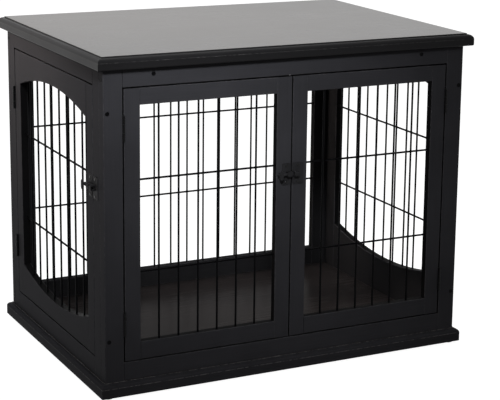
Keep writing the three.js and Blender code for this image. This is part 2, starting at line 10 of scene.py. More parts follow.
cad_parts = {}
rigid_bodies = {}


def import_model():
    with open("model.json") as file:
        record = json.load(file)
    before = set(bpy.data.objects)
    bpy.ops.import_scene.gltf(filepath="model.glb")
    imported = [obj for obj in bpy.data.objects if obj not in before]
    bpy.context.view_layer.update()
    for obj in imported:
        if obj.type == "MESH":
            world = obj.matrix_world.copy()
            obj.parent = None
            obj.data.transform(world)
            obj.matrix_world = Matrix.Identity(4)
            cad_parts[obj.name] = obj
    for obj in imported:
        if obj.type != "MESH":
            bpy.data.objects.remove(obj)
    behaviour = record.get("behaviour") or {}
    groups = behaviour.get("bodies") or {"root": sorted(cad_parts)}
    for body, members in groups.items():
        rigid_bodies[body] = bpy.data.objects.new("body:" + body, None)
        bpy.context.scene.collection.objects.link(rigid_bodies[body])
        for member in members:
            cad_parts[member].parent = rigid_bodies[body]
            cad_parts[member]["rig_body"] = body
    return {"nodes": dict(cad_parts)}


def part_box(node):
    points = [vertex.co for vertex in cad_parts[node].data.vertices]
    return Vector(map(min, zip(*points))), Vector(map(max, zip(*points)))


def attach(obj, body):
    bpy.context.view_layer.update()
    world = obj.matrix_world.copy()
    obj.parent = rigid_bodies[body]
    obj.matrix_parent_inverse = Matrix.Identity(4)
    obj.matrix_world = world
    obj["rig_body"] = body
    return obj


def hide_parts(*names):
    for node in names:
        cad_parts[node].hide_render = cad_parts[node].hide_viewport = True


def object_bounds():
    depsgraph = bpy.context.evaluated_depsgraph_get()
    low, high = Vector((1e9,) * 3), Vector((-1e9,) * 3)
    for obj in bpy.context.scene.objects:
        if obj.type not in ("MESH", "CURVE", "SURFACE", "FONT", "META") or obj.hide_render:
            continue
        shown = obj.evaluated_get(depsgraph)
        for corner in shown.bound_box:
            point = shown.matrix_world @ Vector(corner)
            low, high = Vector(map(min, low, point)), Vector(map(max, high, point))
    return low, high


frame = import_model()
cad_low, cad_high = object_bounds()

MM = 0.001
QUARTER_TURN = math.pi / 2
UP = Vector((0, 0, 1))
FORWARD = Vector((0, -1, 0))

# ---------------------------------------------------------------- sizes of the finish

# How close points of a CAD node merge and count as in one plane, the turn up to which its faces
# join, and the turn from which an edge is drawn sharp.
MERGE_DISTANCE = 0.002 * MM
FLAT_ANGLE = math.radians(0.4)
SHARP_ANGLE = math.radians(35)

# Every rounded edge, of a member, a screw or a cap.
ROUNDING_SEGMENTS = 3

# The eased edges of a wooden member. A direction is along an axis when its share is over the last.
EASING = 1.3 * MM
EASED_ANGLE = math.radians(50)
SHORTEST_EASED = 4 * MM
ALONG_AXIS = 0.5

# The paints of a wooden member's faces, as places in its list of materials. The narrow and inner paints
# are darker: painted shade in gaps, openings and inside the crate.
OUTER_FACE = 0
SHADED_NARROW_FACE = 1
SHADED_INNER_FACE = 2

# Wires. The tolerance and the reach find the points of one wire in the CAD grille. A weld's spread
# and height are shares of the wire's radius.
WIRE_RADIUS = 2 * MM
WIRE_SEGMENTS = 14
WIRE_END_TOLERANCE = WIRE_RADIUS / 10
UPRIGHT_REACH = 1.5 * WIRE_RADIUS
WELD_SPREAD = 1.25
WELD_HEIGHT = 0.75

# The edges of the two boards, from the underside up.
BOARD_SEGMENTS = 12
# The height of the painted highlight line where the mould starts.
PAINTED_HIGHLIGHT_LINE = 1 * MM
TOP_PROFILE = {"arris": 3 * MM, "flat": 13.5 * MM, "mould": 11 * MM, "riser": 2 * MM, "lip": 1 * MM}
BASE_PROFILE = {"arris": 1 * MM, "flat": 18 * MM, "mould": 9 * MM, "riser": 1.5 * MM, "lip": 0.75 * MM}

# Cover caps. The rounding is a share of the rise, and the rim and slope are shares of the radius.
CAP_RADIUS = 4.2 * MM
CAP_RISE = 0.6 * MM
CAP_DISH = 0.4 * MM
CAP_SEGMENTS = 28
CAP_ROUNDING = 0.6
CAP_RIM = 0.12
CAP_SLOPE = 0.2
RAIL_CAP_PLACE = 291 * MM
RAIL_CAP_DROP = 13 * MM
POST_CAP_LEVELS = (113 * MM, 553 * MM)
END_CAP_DROP = 20 * MM

# Screw heads. The taper, margin and waist are shares of a radius, and the rounding and depth are
# shares of the rise. The arm is half the width of one arm, as a share of a quarter turn.
SCREW_SEGMENTS = 24
SCREW_TAPER = 0.86
SCREW_ROUNDING = 0.4
RECESS_MARGIN = 0.3
RECESS_WAIST = 0.4
RECESS_DEPTH = 0.7
RECESS_ARM = 0.2
PLATE_SCREW_RADIUS = 3 * MM
PLATE_SCREW_RISE = 0.9 * MM
PLATE_SCREW_SPREAD = 16.5 * MM
PLATE_THICKNESS = 1.2 * MM
LEAF_SCREW_RADIUS = 2.6 * MM
LEAF_SCREW_RISE = 0.15 * MM
LEAF_SCREW_SPREAD = 17 * MM
LEAF_THICKNESS = 1 * MM
LEAF_MIDDLE = 7.5 * MM

# ---------------------------------------------------------------- nodes of the crate

WOOD = ("_post", "_stile", "_rail")
METALWORK = ("_leaf", "_bolt", "_bolt_guide", "_keeper")

# Axis 0 is x and axis 1 is y.

# Each wire panel's axis, the stiles at its low and high end, and its number of uprights.
PANELS = {
    "front_left_door": (0, "hinge_stile", "meeting_stile", 6),
    "front_right_door": (0, "meeting_stile", "hinge_stile", 6),
    "side_door": (1, "meeting_stile", "hinge_stile", 8),
    "right_side": (1, "front_stile", "rear_stile", 9),
    "rear": (0, "right_stile", "left_stile", 16),
}

# Each door's axis, and the post that it hangs on.
HUNG = {
    "front_left_door": (0, "front_left_post"),
    "front_right_door": (0, "front_right_post"),
    "side_door": (1, "left_side_rear_post"),
}

# Each latch plate, with a stile whose outer face is in the plane of its back, and the axis across.
LATCH_PLATES = {
    "front_left_door_bolt_guide": ("front_left_door_meeting_stile", 1),
    "front_right_door_keeper": ("front_left_door_meeting_stile", 1),
    "left_side_keeper": ("side_door_meeting_stile", 0),
    "side_door_bolt_guide": ("side_door_meeting_stile", 0),
}

# The left and right side of the crate, as the sign of x. With each go the member behind its front
# post, and the members that have a cap on their outer side.
CAPPED = (
    (-1, "left_side_front_post", ("front_left_post", "rear_right_stile")),
    (1, "right_side_front_stile", ("front_right_post", "rear_left_stile")),
)


# ---------------------------------------------------------------- shaping

def body_of(node):
    """The body that a CAD node moves with."""
    return frame["nodes"][node]["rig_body"]


def add_piece(name, bm, materials, body):
    """Makes an object of a finished bmesh, smooth but for the edges that turn sharply."""
    for face in bm.faces:
        face.smooth = True
    for edge in bm.edges:
        edge.smooth = edge.calc_face_angle(math.pi) < SHARP_ANGLE
    mesh = bpy.data.meshes.new(name)
    bm.to_mesh(mesh)
    bm.free()
    for material in materials:
        mesh.materials.append(material)
    piece = bpy.data.objects.new(name, mesh)
    bpy.context.scene.collection.objects.link(piece)
    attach(piece, body)
    return piece


def weigh_normals(piece):
    """Keeps a large flat face flat beside its eased edges."""
    weighted = piece.modifiers.new("flat_faces", "WEIGHTED_NORMAL")
    weighted.keep_sharp = True


def merged_copy(node):
    """A copy of a CAD node with its loose triangles merged into whole faces."""
    bm = bmesh.new()
    bm.from_mesh(frame["nodes"][node].data)
    bmesh.ops.remove_doubles(bm, verts=bm.verts[:], dist=MERGE_DISTANCE)
    bmesh.ops.dissolve_limit(bm, angle_limit=FLAT_ANGLE, verts=bm.verts[:], edges=bm.edges[:])
    return bm


def merge_into(bm, other):
    """Adds one bmesh to another."""
    mesh = bpy.data.meshes.new("scratch")
    other.to_mesh(mesh)
    other.free()
    bm.from_mesh(mesh)
    bpy.data.meshes.remove(mesh)


def standing(place, direction):
    """The transform from the origin to a place, with up turned to a direction."""
    turn = UP.rotation_difference(direction).to_matrix().to_4x4()
    return Matrix.Translation(place) @ turn


def round_edges(bm, edges, radius):
    """Rounds edges and gives back the new faces."""
    made = bmesh.ops.bevel(bm, geom=edges, offset=radius, offset_type="OFFSET", affect="EDGES",
                           segments=ROUNDING_SEGMENTS, profile=0.5, material=-1, clamp_overlap=True)
    return made["faces"]


def mark_wear_and_highlight(face, wear_and_highlight):
    """Marks a face for lighter paint, rubbed wear and painted highlight, in the layer that the paint
    reads.
    """
    for loop in face.loops:
        loop[wear_and_highlight] = 1.0


def highest_face(bm):
    """The face whose middle is highest."""
    return max(bm.faces, key=lambda face: face.calc_center_median().z)


# ---------------------------------------------------------------- wooden members

def long_edges_of(bm, low, high, run, across):
    """The edges along a member that border its two broad faces."""
    long_edges = []
    for edge in bm.edges:
        along = edge.verts[1].co - edge.verts[0].co
        if along.length < SHORTEST_EASED or abs(along.normalized()[run]) < ALONG_AXIS:
            continue
        place = edge.verts[0].co[across]
        on_broad_face = min(abs(place - low[across]), abs(place - high[across])) < MERGE_DISTANCE
        if on_broad_face and edge.calc_face_angle(0) > EASED_ANGLE:
            long_edges.append(edge)
    return long_edges


def choose_paints(bm, node, low, high, across):
    """Chooses each face's paint: narrow faces in gaps and openings, and the crate's inner faces, get
    darker paint as painted shade. A narrow face on the crate's left or right side keeps the outer one.
    """
    crate_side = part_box("front_right_post")[1].x
    inwards = 1 if low[across] + high[across] < cad_low[across] + cad_high[across] else -1
    for face in bm.faces:
        is_narrow = abs(face.normal[across]) < ALONG_AXIS
        on_crate_side = abs(face.calc_center_median().x) > crate_side - MERGE_DISTANCE
        if is_narrow and not on_crate_side:
            face.material_index = SHADED_NARROW_FACE
        elif body_of(node) == "crate" and face.normal[across] * inwards > ALONG_AXIS:
            face.material_index = SHADED_INNER_FACE


def wooden_member(node):
    """A post, stile or rail with eased long edges, painted lighter there for rubbed wear and painted
    highlight, and its narrow and inner faces darker with painted shade.
    """
    bm = merged_copy(node)
    low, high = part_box(node)
    size = high - low
    run = max(range(3), key=lambda i: size[i])
    across = min(range(3), key=lambda i: size[i])
    long_edges = long_edges_of(bm, low, high, run, across)
    choose_paints(bm, node, low, high, across)
    # The eased edges are painted lighter: rubbed wear, and a painted highlight where light catches them.
    wear_and_highlight = bm.loops.layers.float.new("wear_and_highlight")
    for face in round_edges(bm, long_edges, EASING):
        face.material_index = OUTER_FACE
        mark_wear_and_highlight(face, wear_and_highlight)
    piece = add_piece(f"painted_{node}", bm, MEMBER_PAINTS[run], body_of(node))
    weigh_normals(piece)
    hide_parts(node)


def wooden_members():
    """All the posts, stiles and rails."""
    for node in frame["nodes"]:
        if node.endswith(WOOD):
            wooden_member(node)


# ---------------------------------------------------------------- boards

def turns(segments):
    """Angles from 0 to a quarter turn in even steps."""
    return [i / segments * QUARTER_TURN for i in range(segments + 1)]


def board_profile(height, arris, flat, mould, riser, lip):
    """A board's edge from the underside up, as (inset, height) pairs."""
    rise = height - riser - flat
    points = []
    for turn in turns(BOARD_SEGMENTS):
        points.append((arris * (1 - math.sin(turn)), arris * (1 - math.cos(turn))))
    for turn in turns(BOARD_SEGMENTS):
        points.append((mould * (1 - math.cos(turn)), flat + rise * math.sin(turn)))
    for turn in turns(BOARD_SEGMENTS // 2):
        points.append((mould + lip * (1 - math.cos(turn)), height - lip + lip * math.sin(turn)))
    return points


def extrude_profile(bm, top, middle, size, points):
    """Raises a face along a profile, narrowing it on all sides, and gives back the last one.

    The faces that it leaves on the way stay inside the board.
    """
    centre = Matrix.Translation((-middle.x, -middle.y, 0))
    for (inset, height), (next_inset, next_height) in zip(points, points[1:]):
        made = bmesh.ops.extrude_face_region(bm, geom=[top])["geom"]
        top = next(part for part in made if isinstance(part, bmesh.types.BMFace))
        scale = [(side - 2 * next_inset) / (side - 2 * inset) for side in (size.x, size.y)]
        bmesh.ops.scale(bm, vec=(*scale, 1), space=centre, verts=top.verts[:])
        bmesh.ops.translate(bm, vec=(0, 0, next_height - height), verts=top.verts[:])
    return top


def moulded_board(node, profile, materials):
    """A board whose four edges follow a profile and meet in mitres.

    The edges have the first material and the top face the second. The lip and a thin line where the
    mould starts are painted lighter: a painted highlight.
    """
    low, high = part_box(node)
    middle = (low + high) / 2
    size = high - low
    points = board_profile(size.z, **profile)
    first_inset = points[0][0]
    bm = bmesh.new()
    bmesh.ops.create_grid(bm, x_segments=1, y_segments=1, size=0.5)
    bmesh.ops.scale(bm, vec=(size.x - 2 * first_inset, size.y - 2 * first_inset, 1), verts=bm.verts[:])
    bmesh.ops.translate(bm, vec=(middle.x, middle.y, low.z), verts=bm.verts[:])
    bm.faces.ensure_lookup_table()
    top = extrude_profile(bm, bm.faces[0], middle, size, points)
    bmesh.ops.recalc_face_normals(bm, faces=bm.faces[:])
    top.material_index = 1
    mould_start = low.z + profile["flat"]
    wear_and_highlight = bm.loops.layers.float.new("wear_and_highlight")
    for face in bm.faces:
        level = face.calc_center_median().z
        on_lip = face is not top and level > high.z - profile["lip"]
        if on_lip or mould_start < level < mould_start + PAINTED_HIGHLIGHT_LINE:
            mark_wear_and_highlight(face, wear_and_highlight)
    piece = add_piece(f"moulded_{node}", bm, materials, body_of(node))
    weigh_normals(piece)
    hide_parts(node)


def boards():
    """The table top and the crate's floor."""
    moulded_board("top_board", TOP_PROFILE, [TOP_EDGE_PAINT, TOP_PAINT])
    moulded_board("base_board", BASE_PROFILE, [BASE_PAINT, FLOOR_PAINT])


# ---------------------------------------------------------------- grilles

def straight_wire(bm, start, end):
    """A round wire between two points."""
    along = end - start
    bmesh.ops.create_cone(bm, cap_ends=True, cap_tris=False, segments=WIRE_SEGMENTS,
                          radius1=WIRE_RADIUS, radius2=WIRE_RADIUS, depth=along.length,
                          matrix=standing((start + end) / 2, along))


def weld_nugget(bm, place, thin_axis):
    """The squeezed metal where two wires are spot welded."""
    spread = [WELD_SPREAD * WIRE_RADIUS] * 3
    spread[thin_axis] = WELD_HEIGHT * WIRE_RADIUS
    bmesh.ops.create_icosphere(bm, subdivisions=1, radius=1,
                               matrix=Matrix.Translation(place) @ Matrix.Diagonal((*spread, 1)))


def cross_bar_levels(points, start, run):
    """The heights of a CAD grille's two cross bars, from their ends at its low side."""
    ends = [point.z for point in points if point[run] < start + WIRE_END_TOLERANCE]
    halfway = sum(ends) / len(ends)
    lower = [z for z in ends if z < halfway]
    upper = [z for z in ends if z > halfway]
    return [(min(group) + max(group)) / 2 for group in (lower, upper)]


def wire_grille(panel, run, low_stile, high_stile, count):
    """Round uprights and two cross bars, spot welded, where the CAD node has its wires."""
    node = f"{panel}_grille"
    points = [vertex.co for vertex in frame["nodes"][node].data.vertices]
    low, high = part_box(node)
    depth = 1 - run
    stile_low, stile_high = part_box(f"{panel}_{low_stile}")
    upright_plane = (stile_low[depth] + stile_high[depth]) / 2
    inwards = 1 if high[depth] - upright_plane > upright_plane - low[depth] else -1
    bar_plane = (high[depth] if inwards > 0 else low[depth]) - inwards * WIRE_RADIUS
    opening_low = stile_high[run]
    opening_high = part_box(f"{panel}_{high_stile}")[0][run]
    levels = cross_bar_levels(points, low[run], run)

    def at(along, plane, z):
        place = Vector((0, 0, z))
        place[run] = along
        place[depth] = plane
        return place

    bm = bmesh.new()
    for i in range(1, count + 1):
        along = opening_low + (opening_high - opening_low) * i / (count + 1)
        heights = [point.z for point in points if abs(point[run] - along) < UPRIGHT_REACH]
        straight_wire(bm, at(along, upright_plane, min(heights)), at(along, upright_plane, max(heights)))
        for level in levels:
            weld_nugget(bm, at(along, (upright_plane + bar_plane) / 2, level), depth)
    for level in levels:
        straight_wire(bm, at(low[run], bar_plane, level), at(high[run], bar_plane, level))
    piece = add_piece(f"wires_{panel}", bm, [WIRE], body_of(node))
    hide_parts(node)


def grilles():
    """The wire panels of the doors, the right side and the rear."""
    for panel, (run, low_stile, high_stile, count) in PANELS.items():
        wire_grille(panel, run, low_stile, high_stile, count)


# ---------------------------------------------------------------- metalwork and glides

def metalwork():
    """The hinge leaves, bolts, guides and keepers, with their round faces smooth."""
    for node in frame["nodes"]:
        if node.endswith(METALWORK):
            material = HINGE_COAT if node.endswith("_leaf") else LATCH_COAT
            piece = add_piece(f"coated_{node}", merged_copy(node), [material], body_of(node))
            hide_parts(node)


def glides():
    """The four feet."""
    for node in frame["nodes"]:
        if node.startswith("foot_"):
            piece = add_piece(f"glide_{node}", merged_copy(node), [GLIDE], body_of(node))
            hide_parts(node)


# ---------------------------------------------------------------- screws and caps

def rounded_disc(radius, top_radius, rise, rounding, segments):
    """A low disc that stands on the origin with its upper rim rounded, and its top face."""
    disc = bmesh.new()
    bmesh.ops.create_cone(disc, cap_ends=True, cap_tris=False, segments=segments, radius1=radius,
                          radius2=top_radius, depth=rise, matrix=Matrix.Translation((0, 0, rise / 2)))
    round_edges(disc, highest_face(disc).edges[:], rounding)
    return disc, highest_face(disc)


def screw_head(bm, place, outward, radius, rise):
    """A low domed head standing on a surface, with a four-armed recess that its top face covers."""
    head, top = rounded_disc(radius, radius * SCREW_TAPER, rise, rise * SCREW_ROUNDING, SCREW_SEGMENTS)
    bmesh.ops.inset_individual(head, faces=[top], thickness=radius * RECESS_MARGIN, depth=0)
    for vertex in top.verts:
        quarter = math.atan2(vertex.co.y, vertex.co.x) / QUARTER_TURN
        if abs(quarter - round(quarter)) > RECESS_ARM:
            vertex.co.x *= RECESS_WAIST
            vertex.co.y *= RECESS_WAIST
    made = bmesh.ops.extrude_face_region(head, geom=[top])["geom"]
    recess_floor = [part for part in made if isinstance(part, bmesh.types.BMVert)]
    bmesh.ops.translate(head, vec=(0, 0, -rise * RECESS_DEPTH), verts=recess_floor)
    bmesh.ops.recalc_face_normals(head, faces=head.faces[:])
    bmesh.ops.transform(head, matrix=standing(place, outward), verts=head.verts[:])
    merge_into(bm, head)


def screw_cap(bm, place, outward):
    """A round cover cap over a screw, with a rim about a dished middle."""
    cap, top = rounded_disc(CAP_RADIUS, CAP_RADIUS, CAP_RISE, CAP_RISE * CAP_ROUNDING, CAP_SEGMENTS)
    bmesh.ops.inset_individual(cap, faces=[top], thickness=CAP_RADIUS * CAP_RIM, depth=0)
    bmesh.ops.inset_individual(cap, faces=[top], thickness=CAP_RADIUS * CAP_SLOPE, depth=-CAP_DISH)
    bmesh.ops.transform(cap, matrix=standing(place, outward), verts=cap.verts[:])
    merge_into(bm, cap)


def screws(node, places, outward, radius, rise):
    """The screw heads that hold one node, all facing the same way."""
    bm = bmesh.new()
    for place in places:
        screw_head(bm, place, outward, radius, rise)
    add_piece(f"screws_{node}", bm, [SCREW_COAT], body_of(node))


def plate_screws():
    """Two screws in each latch plate, above and below its housing."""
    for node, (stile, across) in LATCH_PLATES.items():
        low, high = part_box(node)
        outward = Vector((0, 0, 0))
        outward[across] = -1
        middle = (low + high) / 2
        middle[across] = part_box(stile)[0][across] - PLATE_THICKNESS
        places = [middle + UP * level for level in (-PLATE_SCREW_SPREAD, PLATE_SCREW_SPREAD)]
        screws(node, places, outward, PLATE_SCREW_RADIUS, PLATE_SCREW_RISE)


def screw_leaf(node, run, face, sign, depth):
    """Three countersunk screws up a hinge leaf, which lies on a face and looks along the run."""
    low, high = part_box(node)
    outward = Vector((0, 0, 0))
    outward[run] = sign
    places = []
    for rise in (-LEAF_SCREW_SPREAD, 0, LEAF_SCREW_SPREAD):
        place = Vector((0, 0, (low.z + high.z) / 2 + rise))
        place[run] = face + sign * LEAF_THICKNESS
        place[1 - run] = depth
        places.append(place)
    screws(node, places, outward, LEAF_SCREW_RADIUS, LEAF_SCREW_RISE)


def leaf_screws():
    """The screws of all the hinges, on each leaf's face towards the other leaf."""
    for door, (run, post) in HUNG.items():
        post_low, post_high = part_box(post)
        stile_low, stile_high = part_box(f"{door}_hinge_stile")
        depth = stile_low[1 - run] + LEAF_MIDDLE
        if stile_low[run] > post_low[run]:
            leaves = {"frame": (post_high[run], 1), "door": (stile_low[run], -1)}
        else:
            leaves = {"frame": (post_low[run], -1), "door": (stile_high[run], 1)}
        for level in ("upper", "lower"):
            for leaf, (face, sign) in leaves.items():
                screw_leaf(f"{door}_{level}_hinge_{leaf}_leaf", run, face, sign, depth)


def caps():
    """Cover caps over the screws that join the frames."""
    bm = bmesh.new()
    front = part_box("front_left_post")[0].y
    under_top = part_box("top_board")[0].z
    for side, member_behind, capped_members in CAPPED:
        screw_cap(bm, Vector((side * RAIL_CAP_PLACE, front, under_top - RAIL_CAP_DROP)), FORWARD)
        low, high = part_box(member_behind)
        for level in POST_CAP_LEVELS:
            screw_cap(bm, Vector(((low.x + high.x) / 2, front, level)), FORWARD)
        for member in capped_members:
            low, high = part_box(member)
            outer_side = low.x if side < 0 else high.x
            place = Vector((outer_side, (low.y + high.y) / 2, under_top - END_CAP_DROP))
            screw_cap(bm, place, Vector((side, 0, 0)))
    add_piece("cover_caps", bm, [CAP_COAT], "crate")


# ---------------------------------------------------------------- shader parts

# Noise patterns, as a scale in cycles a metre and a number of finer layers. The grain's vector is
# stretched before the noise reads it. A pattern's values lie mostly between the low and the high.
GRAIN = (1, 3)
PAINT_CLOUDS = (9, 3)
SPRAY = (520, 1)
WEAR_AND_HIGHLIGHT_PATCHES = (160, 4)
PEBBLES = (1500, 2)
COAT_CLOUDS = (60, 3)
NOISE_ROUGHNESS = 0.55
NOISE_LOW = 0.3
NOISE_HIGH = 0.7

# How much each pattern changes the paint and the metal coat.
CLOUD_SHADE = 0.1
GRAIN_SHADE = 0.07
GRAIN_SHEEN = 0.02
WEAR_AND_HIGHLIGHT_SHARE = 0.3
WEAR_AND_HIGHLIGHT_SPREAD = 0.5
SPRAY_HEIGHT = 0.25
PAINT_RELIEF = 0.04 * MM
COAT_SHADE = 0.15
COAT_SHEEN = 0.07
COAT_RELIEF = 0.02 * MM

# Grain along x, y and z, in cycles a metre.
ACROSS_GRAIN = 600
ALONG_GRAIN = 8
GRAIN_RUNS = [
    (ALONG_GRAIN, ACROSS_GRAIN, ACROSS_GRAIN),
    (ACROSS_GRAIN, ALONG_GRAIN, ACROSS_GRAIN),
    (ACROSS_GRAIN, ACROSS_GRAIN, ALONG_GRAIN),
]

FINISH_OUTPUTS = [
    ("Colour", "NodeSocketColor"),
    ("Roughness", "NodeSocketFloat"),
    ("Normal", "NodeSocketVector"),
]


def new_group(name, inputs):
    """A shader node group with named inputs that puts out a finish."""
    tree = bpy.data.node_groups.new(name, "ShaderNodeTree")
    for label, kind, value in inputs:
        socket = tree.interface.new_socket(label, in_out="INPUT", socket_type=kind)
        socket.default_value = value
    for label, kind in FINISH_OUTPUTS:
        tree.interface.new_socket(label, in_out="OUTPUT", socket_type=kind)
    return tree, tree.nodes.new("NodeGroupInput").outputs, tree.nodes.new("NodeGroupOutput").inputs


def noise(tree, vector, scale, detail):
    """A noise pattern's value at a vector."""
    texture = tree.nodes.new("ShaderNodeTexNoise")
    texture.inputs["Scale"].default_value = scale
    texture.inputs["Detail"].default_value = detail
    texture.inputs["Roughness"].default_value = NOISE_ROUGHNESS
    tree.links.new(vector, texture.inputs["Vector"])
    return texture.outputs["Fac"]


def math_node(tree, operation, first, second):
    """A sum, product or the like of two values, each a number or a socket."""
    made = tree.nodes.new("ShaderNodeMath")
    made.operation = operation
    for socket, value in zip(made.inputs, (first, second)):
        if isinstance(value, (int, float)):
            socket.default_value = value
        else:
            tree.links.new(value, socket)
    return made.outputs[0]


def spread_about(tree, value, amount, centre):
    """A noise value turned into centre plus or minus amount."""
    ranged = tree.nodes.new("ShaderNodeMapRange")
    ranged.inputs["From Min"].default_value = NOISE_LOW
    ranged.inputs["From Max"].default_value = NOISE_HIGH
    tree.links.new(value, ranged.inputs["Value"])
    tree.links.new(math_node(tree, "SUBTRACT", centre, amount), ranged.inputs["To Min"])
    tree.links.new(math_node(tree, "ADD", centre, amount), ranged.inputs["To Max"])
    return ranged.outputs["Result"]


def tinted(tree, colour, factor):
    """A colour multiplied by a value."""
    scaled = tree.nodes.new("ShaderNodeVectorMath")
    scaled.operation = "SCALE"
    tree.links.new(colour, scaled.inputs["Vector"])
    tree.links.new(factor, scaled.inputs["Scale"])
    return scaled.outputs["Vector"]


def relief(tree, height, distance):
    """The normal of a surface raised by a height from 0 to 1 times a distance."""
    bump = tree.nodes.new("ShaderNodeBump")
    bump.inputs["Strength"].default_value = 1
    bump.inputs["Distance"].default_value = distance
    tree.links.new(height, bump.inputs["Height"])
    return bump.outputs["Normal"]


def wear_and_highlight_colour(tree, given, shade, place):
    """The paint colour with its random tone, and the lighter colour of rubbed wear and painted highlight
    in patches on the marked faces.
    """
    wear_and_highlight = tree.nodes.new("ShaderNodeAttribute")
    wear_and_highlight.attribute_name = "wear_and_highlight"
    patches = spread_about(tree, noise(tree, place, *WEAR_AND_HIGHLIGHT_PATCHES), WEAR_AND_HIGHLIGHT_SPREAD, WEAR_AND_HIGHLIGHT_SHARE)
    mixed = tree.nodes.new("ShaderNodeMix")
    mixed.data_type = "RGBA"
    tree.links.new(math_node(tree, "MULTIPLY", wear_and_highlight.outputs["Fac"], patches), mixed.inputs["Factor"])
    tree.links.new(tinted(tree, given["Colour"], shade), mixed.inputs["A"])
    tree.links.new(given["Wear And Highlight Colour"], mixed.inputs["B"])
    return mixed.outputs["Result"]


def paint_film_group():
    """Satin paint over wood: faint grain, spray texture, cloudy sheen, and marked edges painted lighter
    for rubbed wear and painted highlight.
    """
    tree, given, result = new_group("paint_film", [
        ("Colour", "NodeSocketColor", (0.02, 0.02, 0.02, 1)),
        ("Wear And Highlight Colour", "NodeSocketColor", (0.05, 0.045, 0.04, 1)),
        ("Stretch", "NodeSocketVector", GRAIN_RUNS[2]),
        ("Roughness", "NodeSocketFloat", 0.4),
        ("Cloudiness", "NodeSocketFloat", 0.05),
        ("Grain Depth", "NodeSocketFloat", 0.3),
    ])
    place = tree.nodes.new("ShaderNodeTexCoord").outputs["Object"]
    stretched = tree.nodes.new("ShaderNodeVectorMath")
    stretched.operation = "MULTIPLY"
    tree.links.new(place, stretched.inputs[0])
    tree.links.new(given["Stretch"], stretched.inputs[1])
    grain = noise(tree, stretched.outputs["Vector"], *GRAIN)
    clouds = noise(tree, place, *PAINT_CLOUDS)
    spray = noise(tree, place, *SPRAY)

    cloud_shade = spread_about(tree, clouds, CLOUD_SHADE, 1.0)
    grain_shade = spread_about(tree, grain, GRAIN_SHADE, 1.0)
    shade = math_node(tree, "MULTIPLY", cloud_shade, grain_shade)
    tree.links.new(wear_and_highlight_colour(tree, given, shade, place), result["Colour"])

    cloudy = spread_about(tree, clouds, given["Cloudiness"], given["Roughness"])
    tree.links.new(spread_about(tree, grain, GRAIN_SHEEN, cloudy), result["Roughness"])

    grain_height = math_node(tree, "MULTIPLY", grain, given["Grain Depth"])
    height = math_node(tree, "ADD", grain_height, math_node(tree, "MULTIPLY", spray, SPRAY_HEIGHT))
    tree.links.new(relief(tree, height, PAINT_RELIEF), result["Normal"])
    return tree


def metal_coat_group():
    """A sprayed coat on metal: fine bumps, uneven sheen and small colour changes."""
    tree, given, result = new_group("metal_coat", [
        ("Colour", "NodeSocketColor", (0.01, 0.01, 0.01, 1)),
        ("Roughness", "NodeSocketFloat", 0.4),
        ("Pebble", "NodeSocketFloat", 0.5),
    ])
    place = tree.nodes.new("ShaderNodeTexCoord").outputs["Object"]
    pebbles = noise(tree, place, *PEBBLES)
    clouds = noise(tree, place, *COAT_CLOUDS)
    shade = spread_about(tree, clouds, COAT_SHADE, 1.0)
    tree.links.new(tinted(tree, given["Colour"], shade), result["Colour"])
    tree.links.new(spread_about(tree, clouds, COAT_SHEEN, given["Roughness"]), result["Roughness"])
    height = math_node(tree, "MULTIPLY", pebbles, given["Pebble"])
    tree.links.new(relief(tree, height, COAT_RELIEF), result["Normal"])
    return tree


def finish_from(name, group, inputs, settings):
    """A material whose colour, roughness and normal come from a group."""
    material = bpy.data.materials.new(name)
    material.use_nodes = True
    tree = material.node_tree
    shader = tree.nodes["Principled BSDF"]
    placed = tree.nodes.new("ShaderNodeGroup")
    placed.node_tree = group
    for label, value in inputs.items():
        placed.inputs[label].default_value = value
    for output, socket in (("Colour", "Base Color"), ("Roughness", "Roughness"), ("Normal", "Normal")):
        tree.links.new(placed.outputs[output], shader.inputs[socket])
    for label, value in settings.items():
        shader.inputs[label].default_value = value
    return material


# ---------------------------------------------------------------- materials

PAINT_FILM = paint_film_group()
METAL_COAT = metal_coat_group()

OUTER_BLACK = (0.0255, 0.0248, 0.0272, 1)
# Narrow faces in gaps and openings are painted near black: painted shade.
NARROW_FACE_SHADE_BLACK = (0.0045, 0.0043, 0.0045, 1)
# The crate's inner faces are painted darker: painted shade.
INNER_SHADE_BLACK = (0.0145, 0.0140, 0.0148, 1)
# Eased edges are painted lighter: rubbed wear and a painted highlight.
RUBBED_AND_HIGHLIGHT_BLACK = (0.048, 0.046, 0.048, 1)
TOP_BROWN = (0.036, 0.033, 0.032, 1)
FLOOR_BROWN = (0.0215, 0.0185, 0.0182, 1)


def frame_paint(name, run, colour):
    """Paint on a wooden member whose grain runs along one axis."""
    return finish_from(
        f"{name}_{'xyz'[run]}", PAINT_FILM,
        {"Colour": colour, "Wear And Highlight Colour": RUBBED_AND_HIGHLIGHT_BLACK, "Stretch": GRAIN_RUNS[run],
         "Roughness": 0.38, "Cloudiness": 0.05, "Grain Depth": 0.3},
        {"Specular IOR Level": 0.003})


def member_paints(run):
    """The paints of a member's outer, narrow and inner faces; the narrow and inner ones are darker,
    painted shade.
    """
    return [
        frame_paint("black_paint", run, OUTER_BLACK),
        frame_paint("edge_paint", run, NARROW_FACE_SHADE_BLACK),
        frame_paint("inner_painted_shade", run, INNER_SHADE_BLACK),
    ]


MEMBER_PAINTS = [member_paints(run) for run in range(3)]
